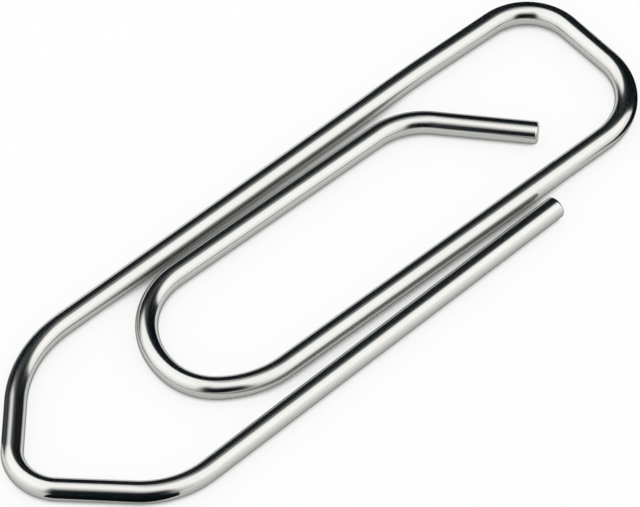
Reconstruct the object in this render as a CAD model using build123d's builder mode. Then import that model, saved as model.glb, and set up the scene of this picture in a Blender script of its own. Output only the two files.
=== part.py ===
from build123d import *
import os
from math import cos, radians, sin, tan

# Paper clip bent from one length of round wire, lying flat. X runs along the legs towards the top end,
# Y across them towards the long leg, Z up. The origin is on the table, under the middle of the clip.
# The wire is cut where it twists in use, so each limb that springs is a piece of its own.
# Sizes are in millimetres and angles in degrees. Bend radii run to the middle of the wire.

# Wire
wire_diameter = 0.95
end_rounding = 0.13  # edge of a sheared end, rounded by tumbling

# Overall
clip_length = 33.0  # over the wire, from the point to the top bar
top_width = 8.64  # over the wire, from the long leg to the tongue leg

# Top end: a straight bar between two rounded corners
long_corner_radius = 2.24
tongue_corner_radius = 2.9

# Long leg, which leans in a little on its way to the top corner
lean_angle = 2.1
lean_setback = 6.8  # start of the lean back from the top end
lean_bend_radius = 60.0

# Point of the outer loop
point_angle = 90.0
apex_radius = 1.9
long_shoulder_radius = 5.8
free_shoulder_radius = 4.0
shoulder_gap = 0.96  # clear gap from the tongue leg's line to the free leg's line at the shoulder

# Outer free leg, leaning in towards the tongue leg
free_end_gap = 0.35  # clear gap to the tongue leg at the cut end
free_end_setback = 7.13  # cut end back from the top end

# Tongue
tongue_setback = 7.95  # round end back from the point, over the wire
ease_angle = 40.0  # the tongue leg eases into the round end before it bends tighter
ease_radius = 4.3
tongue_bend_radius = 2.57  # the round end's half on the tongue leg's side
return_gap = 0.26  # clear gap from the long leg to the return leg at the round end
return_lean = 0.8  # the return leg leans away from the long leg

# Tip of the return leg, bent inwards to lead the paper in
tip_angle = 49.3  # to the long leg
tip_bend_radius = 3.0
tip_setback = 5.12  # middle of the cut end back from the top end
tip_gap = 1.07  # clear gap in Y from the cut end to the tongue leg

# Lines that the legs follow, measured from the long leg's line
wire_radius = wire_diameter / 2
tongue_drop = top_width - wire_diameter
free_end_drop = tongue_drop + wire_diameter + free_end_gap
shoulder_drop = tongue_drop + wire_diameter + shoulder_gap
return_drop = wire_diameter + return_gap
point_drop = shoulder_drop / 2

# Places along the clip
top_x = clip_length / 2 - wire_radius
nose_x = wire_radius - clip_length / 2
half_point = radians(point_angle / 2)
apex_x = nose_x - apex_radius * (1 / sin(half_point) - 1)
shoulder_x = apex_x + point_drop / tan(half_point)
free_end_x = clip_length / 2 - free_end_setback
crown_x = nose_x + tongue_setback
tip_end_x = clip_length / 2 - tip_setback

# The lower shoulder's bend is the clip's widest place, and sets where the middle of the width is
free_leg_rise = (shoulder_drop - free_end_drop) / (free_end_x - shoulder_x)
free_leg_vector = Vector(1, free_leg_rise).normalized()
free_shoulder_turn = half_point + radians(free_leg_vector.get_angle(Vector(1, 0)))
free_shoulder_tangent = free_shoulder_radius * tan(free_shoulder_turn / 2)
lowest_drop = (
    shoulder_drop
    - free_shoulder_tangent * free_leg_vector.Y
    + free_shoulder_radius * (1 - free_leg_vector.X)
)
long_y = lowest_drop / 2
tongue_y = long_y - tongue_drop
return_y = long_y - return_drop

# Corners of the wire's middle line
lean_x = clip_length / 2 - lean_setback
lean_drop = (top_x - lean_x) * tan(radians(lean_angle))
apex = Vector(apex_x, long_y - point_drop, wire_radius)
long_shoulder = Vector(shoulder_x, long_y, wire_radius)
free_shoulder = Vector(shoulder_x, long_y - shoulder_drop, wire_radius)
lean_start = Vector(lean_x, long_y, wire_radius)
long_corner = Vector(top_x, long_y - lean_drop, wire_radius)
tongue_corner = Vector(top_x, tongue_y, wire_radius)
free_end = Vector(free_end_x, long_y - free_end_drop, wire_radius)

# Round end of the tongue: its other half takes up what is left of the width between the legs
ease = radians(ease_angle)
crown_rise = ease_radius * (1 - cos(ease)) + tongue_bend_radius * cos(ease)
ease_run = ease_radius * sin(ease) + tongue_bend_radius * (1 - sin(ease))
return_bend_radius = return_y - tongue_y - crown_rise
crown = Vector(crown_x, tongue_y + crown_rise, wire_radius)
tongue_leg_end = Vector(crown_x + ease_run, tongue_y, wire_radius)

# Tip: its line runs back from the cut end to where it meets the return leg
tip_end = Vector(tip_end_x, tongue_y + wire_diameter + tip_gap, wire_radius)
lean = radians(return_lean)
return_start = Vector(
    crown_x + return_bend_radius * (1 + sin(lean)),
    crown.Y + return_bend_radius * cos(lean),
    wire_radius,
)
tip_slope = tan(radians(tip_angle))
tip_run = (return_start.Y - tip_end.Y - (tip_end.X - return_start.X) * tan(lean)) / (tip_slope - tan(lean))
tip_corner = Vector(tip_end.X - tip_run, tip_end.Y + tip_run * tip_slope, wire_radius)

# Sections where the wire twists, each in the middle of its straight stretch or at the crown of its bend
long_corner_tangent = long_corner_radius * tan(radians(90 - lean_angle) / 2)
top_cut = Vector(
    top_x,
    (long_corner.Y - long_corner_tangent + tongue_y + tongue_corner_radius) / 2,
    wire_radius,
)
free_run = free_shoulder - apex
apex_tangent = apex_radius / tan(half_point)
point_cut = apex + free_run.normalized() * (apex_tangent + free_run.length - free_shoulder_tangent) / 2

os.makedirs("parts", exist_ok=True)

# Outer loop: lower run of the point, apex, upper run, long leg, and half of the top bar
with BuildPart() as outer_loop:
    with BuildLine() as outer_line:
        FilletPolyline(
            point_cut,
            apex,
            long_shoulder,
            lean_start,
            long_corner,
            top_cut,
            radius=[apex_radius, long_shoulder_radius, lean_bend_radius, long_corner_radius],
        )
    with BuildSketch(Plane(origin=outer_line.line @ 0, z_dir=outer_line.line % 0)):
        Circle(wire_radius)
    sweep()
outer_loop.part.label = "outer_loop"
export_step(outer_loop.part, "parts/outer_loop.step")

# Tongue: other half of the top bar, tongue leg, and the round end as far as its crown
with BuildPart() as tongue:
    with BuildLine() as tongue_line:
        legs = FilletPolyline(top_cut, tongue_corner, tongue_leg_end, radius=tongue_corner_radius)
        eased = JernArc(start=legs @ 1, tangent=legs % 1, radius=ease_radius, arc_size=-ease_angle)
        JernArc(start=eased @ 1, tangent=eased % 1, radius=tongue_bend_radius, arc_size=ease_angle - 90)
    with BuildSketch(Plane(origin=tongue_line.line @ 0, z_dir=tongue_line.line % 0)):
        Circle(wire_radius)
    sweep()
tongue.part.label = "tongue"
export_step(tongue.part, "parts/tongue.step")

# Return leg: the round end from its crown on, the leg beside the long leg, and the tip
with BuildPart() as return_leg:
    with BuildLine() as return_line:
        bend = JernArc(start=crown, tangent=(0, 1), radius=return_bend_radius, arc_size=-90 - return_lean)
        FilletPolyline(bend @ 1, tip_corner, tip_end, radius=tip_bend_radius)
    with BuildSketch(Plane(origin=return_line.line @ 0, z_dir=return_line.line % 0)):
        Circle(wire_radius)
    sweep()
    fillet(return_leg.faces().sort_by_distance(tip_end)[0].edges(), radius=end_rounding)
return_leg.part.label = "return_leg"
export_step(return_leg.part, "parts/return_leg.step")

# Free leg: rest of the point's lower run, its shoulder, and the outer leg to its cut end
with BuildPart() as free_leg:
    with BuildLine() as free_line:
        FilletPolyline(point_cut, free_shoulder, free_end, radius=free_shoulder_radius)
    with BuildSketch(Plane(origin=free_line.line @ 0, z_dir=free_line.line % 0)):
        Circle(wire_radius)
    sweep()
    fillet(free_leg.faces().sort_by_distance(free_end)[0].edges(), radius=end_rounding)
free_leg.part.label = "free_leg"
export_step(free_leg.part, "parts/free_leg.step")
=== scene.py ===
from math import atan, cos, pi, radians, sin, tan

import bpy
from mathutils import Matrix, Vector


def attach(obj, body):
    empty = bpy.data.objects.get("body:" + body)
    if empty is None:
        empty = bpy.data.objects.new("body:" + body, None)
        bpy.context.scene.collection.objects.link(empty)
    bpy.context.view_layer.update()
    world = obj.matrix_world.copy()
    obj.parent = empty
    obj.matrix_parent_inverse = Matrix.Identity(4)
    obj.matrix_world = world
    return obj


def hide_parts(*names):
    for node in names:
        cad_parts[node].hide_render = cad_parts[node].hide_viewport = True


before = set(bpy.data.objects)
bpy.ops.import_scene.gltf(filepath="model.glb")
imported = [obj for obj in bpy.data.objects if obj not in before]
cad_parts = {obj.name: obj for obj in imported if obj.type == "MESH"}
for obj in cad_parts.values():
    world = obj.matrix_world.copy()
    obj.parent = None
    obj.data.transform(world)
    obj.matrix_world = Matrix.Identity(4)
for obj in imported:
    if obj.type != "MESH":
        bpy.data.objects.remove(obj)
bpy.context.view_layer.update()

# Paper clip bent from one length of bright plated wire, lying on a white table.
# Metres, in the frame of the clip: X along the legs towards the top bar, Y towards the long leg, Z up.
mm = 0.001

# Wire, and the sizes that the bends are set by; bend radii run to the middle of the wire
wire_diameter = 0.95 * mm
end_rounding = 0.13 * mm
clip_length = 33.0 * mm
top_width = 8.64 * mm
long_corner_radius = 2.24 * mm
tongue_corner_radius = 2.9 * mm
lean_angle = radians(2.1)
lean_setback = 6.8 * mm
lean_bend_radius = 60.0 * mm
point_angle = radians(90.0)
apex_radius = 1.9 * mm
long_shoulder_radius = 5.8 * mm
free_shoulder_radius = 4.0 * mm
shoulder_gap = 0.96 * mm
free_end_gap = 0.35 * mm
free_end_setback = 7.13 * mm
tongue_setback = 7.95 * mm
ease_angle = radians(40.0)
ease_radius = 4.3 * mm
tongue_bend_radius = 2.57 * mm
return_gap = 0.26 * mm
return_lean = radians(0.8)
tip_angle = radians(49.3)
tip_bend_radius = 3.0 * mm
tip_setback = 5.12 * mm
tip_gap = 1.07 * mm

# How finely the wire is drawn
steps_round_wire = 72
turn_per_step = radians(1.25)
steps_per_rounding = 8
bend_hair = 0.01 * mm  # bends are drawn this much under size, so that a straight is left where two meet
joint_hair = 0.0005 * mm  # each stretch stops this short of a joint, so that the faces turn freely

# Photograph: its frame in pixels, its scale, and where the clip's origin lies in it
photo_width_px = 640
photo_height_px = 507
pixels_per_mm = 24.58
origin_px = (317.53, 274.41)
view_azimuth = 227.726  # from the clip to the camera, in degrees from X towards Y
view_elevation = 51.66
camera_distance = 900 * mm
sensor_width = 36.0  # in millimetres, as a camera has it

white = "#ffffff"


def linear(hex_colour):
    """sRGB hex, as #rrggbb, to linear RGBA."""
    shares = [int(hex_colour[i:i + 2], 16) / 255 for i in (1, 3, 5)]
    return [s / 12.92 if s <= 0.04045 else ((s + 0.055) / 1.055) ** 2.4 for s in shares] + [1.0]


def add(tree, kind, inputs=None, **settings):
    """Adds a node: its settings first, then its inputs by name or number, each a value or a link."""
    node = tree.nodes.new(kind)
    for name, value in settings.items():
        setattr(node, name, value)
    for socket, value in (inputs or {}).items():
        if isinstance(value, bpy.types.NodeSocket):
            tree.links.new(value, node.inputs[socket])
        else:
            node.inputs[socket].default_value = value
    return node


# Sockets of a Mix node for colours: they go by number, because its names repeat
mix_share, mix_from, mix_to, mix_result = 0, 6, 7, 2


def new_material(name):
    """An empty node material and its output node."""
    material = bpy.data.materials.new(name)
    material.use_nodes = True
    material.node_tree.nodes.clear()
    return material, material.node_tree, add(material.node_tree, "ShaderNodeOutputMaterial")


# Materials

def bright_nickel_plated_wire():
    """Cold-drawn steel wire with a bright nickel plate.

    To the eye it is a pale mirror, faintly streaked along the wire, with a painted reflection of a grey
    ground greying its sides and underside.
    """
    material, tree, output = new_material("bright_nickel_plated_wire")
    line_width = 0.07 * mm
    line_length = 9.0 * mm
    line_depth = 0.002 * mm
    stain_size = 2.5 * mm
    ground_reflection_start = 0.92 * wire_diameter  # height at which the painted reflection of the grey ground starts
    ground_reflection_full = 0.62 * wire_diameter  # height below which the painted reflection is full
    faintest, strongest = 0.3, 0.7  # nearly all of a noise pattern lies between these
    smoothest, dullest = 0.12, 0.17  # range of the roughness from line to line
    place = add(tree, "ShaderNodeAttribute", attribute_name="straight_wire").outputs["Vector"]
    # drawing lines: finer on real wire, coarse enough here to show as a faint lengthwise streak
    stretched = add(tree, "ShaderNodeMapping", {
        "Vector": place,
        "Scale": (1 / line_width, 1 / line_width, 1 / line_length),
    })
    lines = add(tree, "ShaderNodeTexNoise", {
        "Vector": stretched.outputs[0],
        "Scale": 1.0,
        "Detail": 2.0,
    })
    stain = add(tree, "ShaderNodeTexNoise", {"Vector": place, "Scale": 1 / stain_size, "Detail": 3.0})
    plate = add(tree, "ShaderNodeMix", {
        mix_share: stain.outputs["Fac"],
        mix_from: linear("#f5f5f2"),
        mix_to: linear("#eeede8"),
    }, data_type="RGBA")
    # painted reflection: the sides and underside are painted greyer, standing in for a grey ground
    # mirrored in the wire
    spot = add(tree, "ShaderNodeTexCoord").outputs["Object"]
    height = add(tree, "ShaderNodeSeparateXYZ", {"Vector": spot}).outputs["Z"]
    painted_ground_reflection = add(tree, "ShaderNodeMapRange", {
        "Value": height,
        "From Min": ground_reflection_start,
        "From Max": ground_reflection_full,
    })
    # painted reflection: the plate turns grey towards the bottom of the wire
    colour = add(tree, "ShaderNodeMix", {
        mix_share: painted_ground_reflection.outputs[0],
        mix_from: plate.outputs[mix_result],
        mix_to: linear("#b6b7b3"),
    }, data_type="RGBA")
    roughness = add(tree, "ShaderNodeMapRange", {
        "Value": lines.outputs["Fac"],
        "From Min": faintest,
        "From Max": strongest,
        "To Min": smoothest,
        "To Max": dullest,
    })
    bump = add(tree, "ShaderNodeBump", {
        "Height": lines.outputs["Fac"],
        "Strength": 0.12,
        "Distance": line_depth,
    })
    shader = add(tree, "ShaderNodeBsdfPrincipled", {
        "Base Color": colour.outputs[mix_result],
        "Metallic": 1.0,
        "Roughness": roughness.outputs[0],
        "Specular Tint": linear("#a0a0a0"),
        "Normal": bump.outputs[0],
    })
    tree.links.new(shader.outputs[0], output.inputs["Surface"])
    return material


def sheared_bare_steel():
    """Cut end of the wire, where the blade left bare steel.

    To the eye it is grey, duller than the plate and scored across.
    """
    material, tree, output = new_material("sheared_bare_steel")
    score_width = 0.04 * mm
    score_length = 0.6 * mm
    score_depth = 0.01 * mm
    place = add(tree, "ShaderNodeAttribute", attribute_name="straight_wire").outputs["Vector"]
    stretched = add(tree, "ShaderNodeMapping", {
        "Vector": place,
        "Scale": (1 / score_width, 1 / score_length, 1 / score_width),
    })
    scores = add(tree, "ShaderNodeTexNoise", {
        "Vector": stretched.outputs[0],
        "Scale": 1.0,
        "Detail": 3.0,
    })
    colour = add(tree, "ShaderNodeMix", {
        mix_share: scores.outputs["Fac"],
        mix_from: linear("#8d8b88"),
        mix_to: linear("#bdbab5"),
    }, data_type="RGBA")
    bump = add(tree, "ShaderNodeBump", {
        "Height": scores.outputs["Fac"],
        "Strength": 0.6,
        "Distance": score_depth,
    })
    shader = add(tree, "ShaderNodeBsdfPrincipled", {
        "Base Color": colour.outputs[mix_result],
        "Metallic": 1.0,
        "Roughness": 0.42,
        "Normal": bump.outputs[0],
    })
    tree.links.new(shader.outputs[0], output.inputs["Surface"])
    return material


# Bent wire

def wire_bender():
    """Node tree that rounds the corners of a line, sweeps round wire along it, and paints it."""
    all_cut = 0.99  # a face is cut where all its points are, which average 1
    tree = bpy.data.node_groups.new("wire_bender", "GeometryNodeTree")
    tree.interface.new_socket("Corners", in_out="INPUT", socket_type="NodeSocketGeometry")
    inputs = {}
    for name, kind in (
        ("Wire Radius", "Float"),
        ("Steps Round Wire", "Int"),
        ("Length Before", "Float"),
        ("Plate", "Material"),
        ("Cut", "Material"),
    ):
        socket = tree.interface.new_socket(name, in_out="INPUT", socket_type="NodeSocket" + kind)
        inputs[name] = socket.identifier
    tree.interface.new_socket("Wire", in_out="OUTPUT", socket_type="NodeSocketGeometry")
    given = add(tree, "NodeGroupInput").outputs
    line = add(tree, "GeometryNodeMeshToCurve", {"Mesh": given["Corners"]})
    bend = add(tree, "GeometryNodeInputNamedAttribute", {"Name": "bend_radius"}, data_type="FLOAT")
    steps = add(tree, "GeometryNodeInputNamedAttribute", {"Name": "bend_steps"}, data_type="INT")
    bent = add(tree, "GeometryNodeFilletCurve", {
        "Curve": line.outputs[0],
        "Count": steps.outputs[0],
        "Radius": bend.outputs[0],
    }, mode="POLY")
    upright = add(tree, "GeometryNodeSetCurveNormal", {"Curve": bent.outputs[0]}, mode="Z_UP")
    run = add(tree, "GeometryNodeSplineParameter")
    along = add(tree, "ShaderNodeMath", {
        0: run.outputs["Length"],
        1: given["Length Before"],
    }, operation="ADD")
    measured = add(tree, "GeometryNodeStoreNamedAttribute", {
        "Geometry": upright.outputs[0],
        "Name": "along",
        "Value": along.outputs[0],
    }, data_type="FLOAT", domain="POINT")
    section = add(tree, "GeometryNodeCurvePrimitiveCircle", {
        "Resolution": given["Steps Round Wire"],
        "Radius": given["Wire Radius"],
    })
    marked = add(tree, "GeometryNodeStoreNamedAttribute", {
        "Geometry": section.outputs[0],
        "Name": "across",
        "Value": add(tree, "GeometryNodeInputPosition").outputs[0],
    }, data_type="FLOAT_VECTOR", domain="POINT")
    thickness = add(tree, "GeometryNodeInputNamedAttribute", {"Name": "thickness"}, data_type="FLOAT")
    swept = add(tree, "GeometryNodeCurveToMesh", {
        "Curve": measured.outputs[0],
        "Profile Curve": marked.outputs[0],
        "Scale": thickness.outputs[0],
        "Fill Caps": True,
    })
    # where each point lay before bending: across the wire in X and Y, along it in Z
    across = add(tree, "GeometryNodeInputNamedAttribute", {"Name": "across"}, data_type="FLOAT_VECTOR")
    kept = add(tree, "GeometryNodeInputNamedAttribute", {"Name": "along"}, data_type="FLOAT")
    upward = add(tree, "ShaderNodeCombineXYZ", {"Z": kept.outputs[0]})
    thinned = add(tree, "ShaderNodeVectorMath", {
        0: across.outputs[0],
        "Scale": thickness.outputs[0],
    }, operation="SCALE")
    straight = add(tree, "ShaderNodeVectorMath", {
        0: thinned.outputs[0],
        1: upward.outputs[0],
    }, operation="ADD")
    unrolled = add(tree, "GeometryNodeStoreNamedAttribute", {
        "Geometry": swept.outputs[0],
        "Name": "straight_wire",
        "Value": straight.outputs[0],
    }, data_type="FLOAT_VECTOR", domain="POINT")
    whole = add(tree, "GeometryNodeRealizeInstances", {"Geometry": unrolled.outputs[0]})
    plated = add(tree, "GeometryNodeSetMaterial", {
        "Geometry": whole.outputs[0],
        "Material": given["Plate"],
    })
    cut_face = add(tree, "GeometryNodeInputNamedAttribute", {"Name": "cut_face"}, data_type="FLOAT")
    is_cut = add(tree, "FunctionNodeCompare", {
        0: cut_face.outputs[0],
        1: all_cut,
    }, data_type="FLOAT", operation="GREATER_THAN")
    finished = add(tree, "GeometryNodeSetMaterial", {
        "Geometry": plated.outputs[0],
        "Selection": is_cut.outputs[0],
        "Material": given["Cut"],
    })
    add(tree, "NodeGroupOutput", {"Wire": finished.outputs[0]})
    return tree, inputs


class Stop:
    """A corner or an end of the wire's line: its bend radius, its thickness and whether it is cut."""

    def __init__(self, point, bend=0.0, thickness=1.0, cut=0.0):
        self.point = Vector(point)
        self.bend = bend
        self.thickness = thickness
        self.cut = cut


def sheared_end(end, inner):
    """Stops from just inside a cut end out to its face, drawing in to round the edge."""
    out = (end - inner).normalized()
    stops = []
    for step in range(steps_per_rounding + 1):
        turn = pi / 2 * step / steps_per_rounding
        point = end - out * end_rounding * (1 - sin(turn))
        share = 1 - end_rounding / (wire_diameter / 2) * (1 - cos(turn))
        stops.append(Stop(point, thickness=share, cut=float(step == steps_per_rounding)))
    return stops


def joint_end(end, inner):
    """Stop at a joint, a hair inside its face."""
    return Stop(end + (inner - end).normalized() * joint_hair)


def turns(stops):
    """Angle that the wire's line turns through at each stop."""
    corners = zip(stops, stops[1:], stops[2:])
    between = [(b.point - a.point).angle(c.point - b.point) for a, b, c in corners]
    return [0.0, *between, 0.0]


def run_length(stops):
    """Length of the wire's middle line, with its corners rounded."""
    length = sum((b.point - a.point).length for a, b in zip(stops, stops[1:]))
    return length - sum(s.bend * (2 * tan(turn / 2) - turn) for s, turn in zip(stops, turns(stops)))


def clip_line():
    """Stops of the four stretches, in order along the wire from the free end to the tip."""
    radius = wire_diameter / 2
    # lines that the legs follow, measured from the long leg's line
    tongue_drop = top_width - wire_diameter
    free_end_drop = tongue_drop + wire_diameter + free_end_gap
    shoulder_drop = tongue_drop + wire_diameter + shoulder_gap
    return_drop = wire_diameter + return_gap
    point_drop = shoulder_drop / 2
    # places along the clip
    top_x = clip_length / 2 - radius
    nose_x = radius - clip_length / 2
    apex_x = nose_x - apex_radius * (1 / sin(point_angle / 2) - 1)
    shoulder_x = apex_x + point_drop / tan(point_angle / 2)
    free_end_x = clip_length / 2 - free_end_setback
    crown_x = nose_x + tongue_setback
    tip_end_x = clip_length / 2 - tip_setback
    # the lower shoulder is the widest place, and sets the middle of the width
    free_lean = atan((shoulder_drop - free_end_drop) / (free_end_x - shoulder_x))
    free_tangent = free_shoulder_radius * tan((point_angle / 2 + free_lean) / 2)
    lowest_drop = (
        shoulder_drop
        - free_tangent * sin(free_lean)
        + free_shoulder_radius * (1 - cos(free_lean))
    )
    long_y = lowest_drop / 2
    tongue_y = long_y - tongue_drop
    return_y = long_y - return_drop
    # corners of the outer loop
    lean_x = clip_length / 2 - lean_setback
    apex = Vector((apex_x, long_y - point_drop, radius))
    long_shoulder = Vector((shoulder_x, long_y, radius))
    free_shoulder = Vector((shoulder_x, long_y - shoulder_drop, radius))
    lean_start = Vector((lean_x, long_y, radius))
    long_corner = Vector((top_x, long_y - (top_x - lean_x) * tan(lean_angle), radius))
    tongue_corner = Vector((top_x, tongue_y, radius))
    free_end = Vector((free_end_x, long_y - free_end_drop, radius))
    # round end of the tongue: two bends up to its crown, and one after it
    crown_rise = ease_radius * (1 - cos(ease_angle)) + tongue_bend_radius * cos(ease_angle)
    ease_run = ease_radius * sin(ease_angle) + tongue_bend_radius * (1 - sin(ease_angle))
    ease_tangent = ease_radius * tan(ease_angle / 2)
    crown_tangent = tongue_bend_radius * tan((pi / 2 - ease_angle) / 2)
    return_bend_radius = return_y - tongue_y - crown_rise
    crown = Vector((crown_x, tongue_y + crown_rise, radius))
    ease_corner = Vector((crown_x + ease_run - ease_tangent, tongue_y, radius))
    crown_corner = crown - Vector((0, crown_tangent, 0))
    return_corner = crown + Vector((0, return_bend_radius * tan((pi / 2 + return_lean) / 2), 0))
    # tip: its line runs back from the cut end to where it meets the return leg
    tip_end = Vector((tip_end_x, tongue_y + wire_diameter + tip_gap, radius))
    return_fall = tan(return_lean)
    tip_fall = tan(tip_angle)
    at_tip = return_corner.y - (tip_end.x - return_corner.x) * return_fall
    tip_run = (at_tip - tip_end.y) / (tip_fall - return_fall)
    tip_corner = tip_end + Vector((-tip_run, tip_run * tip_fall, 0))
    # sections where the wire twists
    long_corner_tangent = long_corner_radius * tan((pi / 2 - lean_angle) / 2)
    top_cut_y = (long_corner.y - long_corner_tangent + tongue_y + tongue_corner_radius) / 2
    top_cut = Vector((top_x, top_cut_y, radius))
    free_run = free_shoulder - apex
    apex_tangent = apex_radius / tan(point_angle / 2)
    point_cut = apex + free_run.normalized() * (apex_tangent + free_run.length - free_tangent) / 2
    return {
        "free_leg": [
            *reversed(sheared_end(free_end, free_shoulder)),
            Stop(free_shoulder, free_shoulder_radius),
            joint_end(point_cut, free_shoulder),
        ],
        "outer_loop": [
            joint_end(point_cut, apex),
            Stop(apex, apex_radius),
            Stop(long_shoulder, long_shoulder_radius),
            Stop(lean_start, lean_bend_radius),
            Stop(long_corner, long_corner_radius),
            joint_end(top_cut, long_corner),
        ],
        "tongue": [
            joint_end(top_cut, tongue_corner),
            Stop(tongue_corner, tongue_corner_radius),
            Stop(ease_corner, ease_radius),
            Stop(crown_corner, tongue_bend_radius),
            joint_end(crown, crown_corner),
        ],
        "return_leg": [
            joint_end(crown, return_corner),
            Stop(return_corner, return_bend_radius),
            Stop(tip_corner, tip_bend_radius),
            *sheared_end(tip_end, tip_corner),
        ],
    }


def bend_wire(name, stops, length_before, bender, inputs, plate, cut):
    """Bends one stretch of wire and returns it as a plain mesh object."""
    guide = bpy.data.meshes.new(name + "_line")
    guide.from_pydata([s.point for s in stops], [(i, i + 1) for i in range(len(stops) - 1)], [])
    for attribute, kind, values in (
        ("bend_radius", "FLOAT", [max(s.bend - bend_hair, 0.0) for s in stops]),
        ("bend_steps", "INT", [max(round(turn / turn_per_step), 1) for turn in turns(stops)]),
        ("thickness", "FLOAT", [s.thickness for s in stops]),
        ("cut_face", "FLOAT", [s.cut for s in stops]),
    ):
        guide.attributes.new(attribute, kind, "POINT").data.foreach_set("value", values)
    piece = bpy.data.objects.new(name, guide)
    bpy.context.scene.collection.objects.link(piece)
    modifier = piece.modifiers.new("wire_bender", "NODES")
    modifier.node_group = bender
    for socket, value in (
        ("Wire Radius", wire_diameter / 2),
        ("Steps Round Wire", steps_round_wire),
        ("Length Before", length_before),
        ("Plate", plate),
        ("Cut", cut),
    ):
        modifier[inputs[socket]] = value
    bpy.context.view_layer.update()
    evaluated = piece.evaluated_get(bpy.context.evaluated_depsgraph_get())
    mesh = bpy.data.meshes.new_from_object(evaluated)
    piece.modifiers.remove(modifier)
    piece.data = mesh
    mesh.name = name
    bpy.data.meshes.remove(guide)
    return piece


def make_clip():
    """Bends the four stretches, each riding on its own body in place of the plain solid."""
    plate = bright_nickel_plated_wire()
    cut = sheared_bare_steel()
    bender, inputs = wire_bender()
    length_before = 0.0
    for node, stops in clip_line().items():
        piece = bend_wire(node + "_wire", stops, length_before, bender, inputs, plate, cut)
        length_before += run_length(stops)
        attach(piece, node)
        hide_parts(node)


# Stage

def aim(azimuth, elevation):
    """Unit vector from the clip, by its azimuth from X towards Y and its elevation, in degrees."""
    a, e = radians(azimuth), radians(elevation)
    return Vector((cos(a) * cos(e), sin(a) * cos(e), sin(e)))


def white_table():
    """A white table top, wide enough to fill every view, which keeps part of the clip's shadow."""
    half_width = 1.6
    evenness = 0.8  # share of plain white in what is seen of it, straight or mirrored
    gap_reach = 1.5 * mm  # how far off the wires may be that close a place in
    shut_in = 0.2  # share of open sky up to which a gap keeps its full shade
    opened_out = 0.5  # share of open sky from which the table is even
    material, tree, output = new_material("matt_white_paper")
    path = add(tree, "ShaderNodeLightPath").outputs
    straight_or_mirrored = add(tree, "ShaderNodeMath", {
        0: path["Is Camera Ray"],
        1: path["Is Glossy Ray"],
    }, operation="ADD")
    seen = add(tree, "ShaderNodeMath", {
        0: straight_or_mirrored.outputs[0],
        1: path["Is Transmission Ray"],
    }, operation="ADD")
    # the narrow gaps between the wires keep their full shade
    open_sky = add(tree, "ShaderNodeAmbientOcclusion", {"Distance": gap_reach}).outputs["AO"]
    openness = add(tree, "ShaderNodeMapRange", {
        "Value": open_sky,
        "From Min": shut_in,
        "From Max": opened_out,
        "To Max": evenness,
    }, interpolation_type="SMOOTHSTEP")
    share = add(tree, "ShaderNodeMath", {
        0: seen.outputs[0],
        1: openness.outputs[0],
    }, operation="MULTIPLY")
    paper = add(tree, "ShaderNodeBsdfDiffuse", {"Color": linear("#fbfbfb"), "Roughness": 0.0})
    plain = add(tree, "ShaderNodeEmission", {"Color": linear(white), "Strength": 1.0})
    shader = add(tree, "ShaderNodeMixShader", {
        0: share.outputs[0],
        1: paper.outputs[0],
        2: plain.outputs[0],
    })
    tree.links.new(shader.outputs[0], output.inputs["Surface"])
    mesh = bpy.data.meshes.new("white_table")
    corners = [(x * half_width, y * half_width, 0) for x, y in ((-1, -1), (1, -1), (1, 1), (-1, 1))]
    mesh.from_pydata(corners, [], [(0, 1, 2, 3)])
    mesh.materials.append(material)
    table = bpy.data.objects.new("white_table", mesh)
    bpy.context.scene.collection.objects.link(table)


def shaded_card():
    """Plain card without gloss, with a colour of its own at each corner, as the wire mirrors it."""
    material, tree, output = new_material("shaded_card")
    shade = add(tree, "ShaderNodeAttribute", attribute_name="shade")
    # where one stretch of wire mirrors another, the card shows paler, so that the line there is soft
    once = 1.0
    mirrorings = add(tree, "ShaderNodeLightPath").outputs["Glossy Depth"]
    again = add(tree, "ShaderNodeMath", {0: mirrorings, 1: once}, operation="GREATER_THAN")
    colour = add(tree, "ShaderNodeMix", {
        mix_share: again.outputs[0],
        mix_from: shade.outputs["Color"],
        mix_to: linear("#b4b6b6"),
    }, data_type="RGBA", blend_type="LIGHTEN")
    shader = add(tree, "ShaderNodeEmission", {"Color": colour.outputs[mix_result], "Strength": 1.0})
    tree.links.new(shader.outputs[0], output.inputs["Surface"])
    return material


def mirrored_only(name, card, points, faces, shades):
    """A sheet of card that only shows mirrored in the wire, with a colour at each point."""
    mesh = bpy.data.meshes.new(name)
    mesh.from_pydata(points, [], faces)
    colours = [channel for hex_colour in shades for channel in linear(hex_colour)]
    mesh.attributes.new("shade", "FLOAT_COLOR", "POINT").data.foreach_set("color", colours)
    mesh.materials.append(card)
    sheet = bpy.data.objects.new(name, mesh)
    bpy.context.scene.collection.objects.link(sheet)
    sheet.visible_camera = False
    sheet.visible_diffuse = False
    sheet.visible_shadow = False


def graded_screen(name, card, posts):
    """A folding screen round the clip, plain below and fading to white at its top.

    Each post gives its azimuth, the elevations where the fade starts and ends, and its colour.
    """
    screen_distance = 800 * mm
    post_points = 3
    points, shades, leaves = [], [], []
    for azimuth, fade_start, fade_end, hex_colour in posts:
        points += [aim(azimuth, elevation) * screen_distance for elevation in (0, fade_start, fade_end)]
        shades += [hex_colour, hex_colour, white]
    for foot in range(0, len(points) - post_points, post_points):
        for low in (foot, foot + 1):
            leaves.append((low, low + post_points, low + post_points + 1, low + 1))
    mirrored_only(name, card, points, leaves, shades)


def table_card(name, card, hex_colour, corners, faces=((0, 1, 2, 3),)):
    """A card laid on the table, just outside the picture.

    Each corner gives its millimetres across the picture and away from the camera, from the clip's middle.
    """
    card_lift = Vector((0, 0, 0.01 * mm))
    rightwards = aim(view_azimuth + 90, 0)
    onwards = -aim(view_azimuth, 0)
    points = [(rightwards * across + onwards * away) * mm + card_lift for across, away in corners]
    mirrored_only(name, card, points, faces, [hex_colour] * len(corners))


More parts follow.
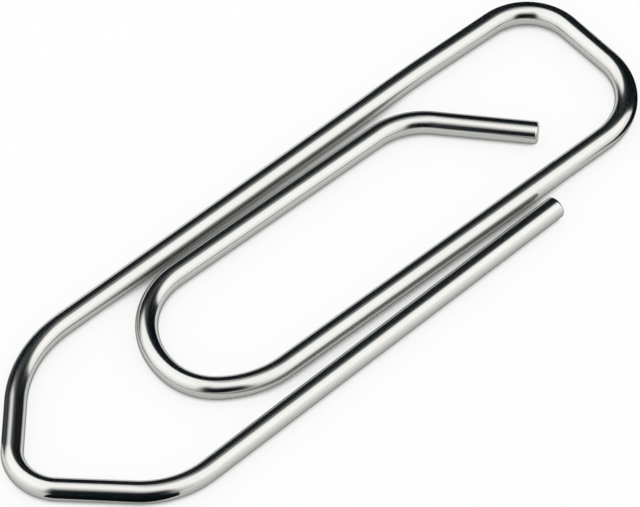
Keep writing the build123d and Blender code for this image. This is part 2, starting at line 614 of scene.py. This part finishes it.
def soft_lamp(name, hex_colour, azimuth, elevation, distance, width, height, radiance):
    """A softbox facing the clip; its power is what gives its face that radiance."""
    light = bpy.data.lights.new(name, "AREA")
    light.shape = "RECTANGLE"
    light.size = width
    light.size_y = height
    light.energy = radiance * pi * width * height
    light.color = linear(hex_colour)[:3]
    lamp = bpy.data.objects.new(name, light)
    bpy.context.scene.collection.objects.link(lamp)
    lamp.location = aim(azimuth, elevation) * distance
    lamp.rotation_euler = aim(azimuth, elevation).to_track_quat("Z", "Y").to_euler()
    lamp.visible_camera = False


def light_stage():
    """White surroundings, screens and cards that only the wire mirrors, and two weak softboxes."""
    black = "#0b1216"
    soft_black = "#1b2224"
    card_black = "#0f161a"
    world = bpy.data.worlds.new("white_surroundings")
    bpy.context.scene.world = world
    world.use_nodes = True
    world.node_tree.nodes.clear()
    output = add(world.node_tree, "ShaderNodeOutputWorld")
    sky = add(world.node_tree, "ShaderNodeBackground", {"Color": linear(white), "Strength": 1.0})
    world.node_tree.links.new(sky.outputs[0], output.inputs["Surface"])
    card = shaded_card()
    graded_screen("back_screen", card, [
        (-23, 4, 8, white),
        (-20, 14, 24, black),
        (-17, 30, 38, black),
        (-10, 39, 50, black),
        (0, 49, 72, black),
        (10, 55, 89, black),
        (22, 57, 89, black),
        (34, 56, 88, "#181f21"),
        (46, 53, 89, "#0d1417"),
        (58, 54, 61, soft_black),
        (67, 49, 55, soft_black),
        (78, 39, 46, black),
        (85, 31, 38, black),
        (92, 23, 34, card_black),
        (98, 15, 32, "#2c3235"),
        (108, 6, 28, "#6c7275"),
        (118, 2, 14, "#c4c8cc"),
    ])
    graded_screen("left_skirt", card, [
        (118, 2, 14, "#c4c8cc"),
        (140, 2, 20, "#fcfcfd"),
        (180, 2, 26, "#fafbfc"),
        (200, 2, 34, "#dcddde"),
    ])
    graded_screen("front_screen", card, [
        (200, 2, 34, "#dcddde"),
        (206, 34, 76, "#b0b4b7"),
        (212, 44, 80, "#2c3438"),
        (217, 42, 75, "#1a2226"),
        (223, 38, 70, black),
        (242, 39, 68, black),
        (252, 38, 66, "#262e31"),
        (262, 8, 40, "#d8d5d0"),
    ])
    graded_screen("right_skirt", card, [
        (262, 8, 40, "#d8d5d0"),
        (278, 4, 26, "#f2f0ed"),
        (300, 2, 16, "#fdfdfc"),
        (337, 2, 12, "#fdfdfc"),
    ])
    table_card("front_card", card, card_black, [
        (-11.29, -12.22),
        (-5.19, -12.22),
        (186.4, -297.0),
        (-86.1, -297.0),
    ])
    table_card("left_card", card, "#485054", [
        (-13.08, -8.59),
        (-13.08, 1.27),
        (-73.9, 242.5),
        (-236.7, 97.2),
    ])
    table_card("back_card", card, card_black, [
        (0.51, 14.44),
        (13.28, 14.44),
        (13.28, 3.86),
        (243.4, 97.2),
        (88.8, 252.8),
        (-73.9, 252.8),
    ], faces=((0, 1, 4, 5), (1, 2, 3, 4)))
    soft_lamp(
        "left_softbox", "#d2e6ff",
        azimuth=150, elevation=42, distance=0.9, width=1.0, height=0.8, radiance=0.08,
    )
    soft_lamp(
        "front_softbox", "#fff4e6",
        azimuth=305, elevation=30, distance=0.9, width=0.7, height=0.6, radiance=0.08,
    )


def photo_camera():
    """Long-lens camera at the photograph's angle, with the clip where the photograph has it."""
    frame_width = photo_width_px / pixels_per_mm * mm
    back = aim(view_azimuth, view_elevation)
    right = Vector((0, 0, 1)).cross(back).normalized()
    up = back.cross(right)
    across = (photo_width_px / 2 - origin_px[0]) / pixels_per_mm * mm
    rise = (origin_px[1] - photo_height_px / 2) / pixels_per_mm * mm
    lens = bpy.data.cameras.new("photo_camera")
    lens.sensor_width = sensor_width
    lens.lens = sensor_width * camera_distance / frame_width
    lens.clip_start = 10 * mm
    lens.clip_end = 10.0
    camera = bpy.data.objects.new("photo_camera", lens)
    bpy.context.scene.collection.objects.link(camera)
    place = right * across + up * rise + back * camera_distance
    camera.matrix_world = Matrix.Translation(place) @ Matrix((right, up, back)).transposed().to_4x4()
    bpy.context.scene.camera = camera


make_clip()
white_table()
light_stage()
photo_camera()
bpy.context.scene.view_settings.view_transform = "Standard"
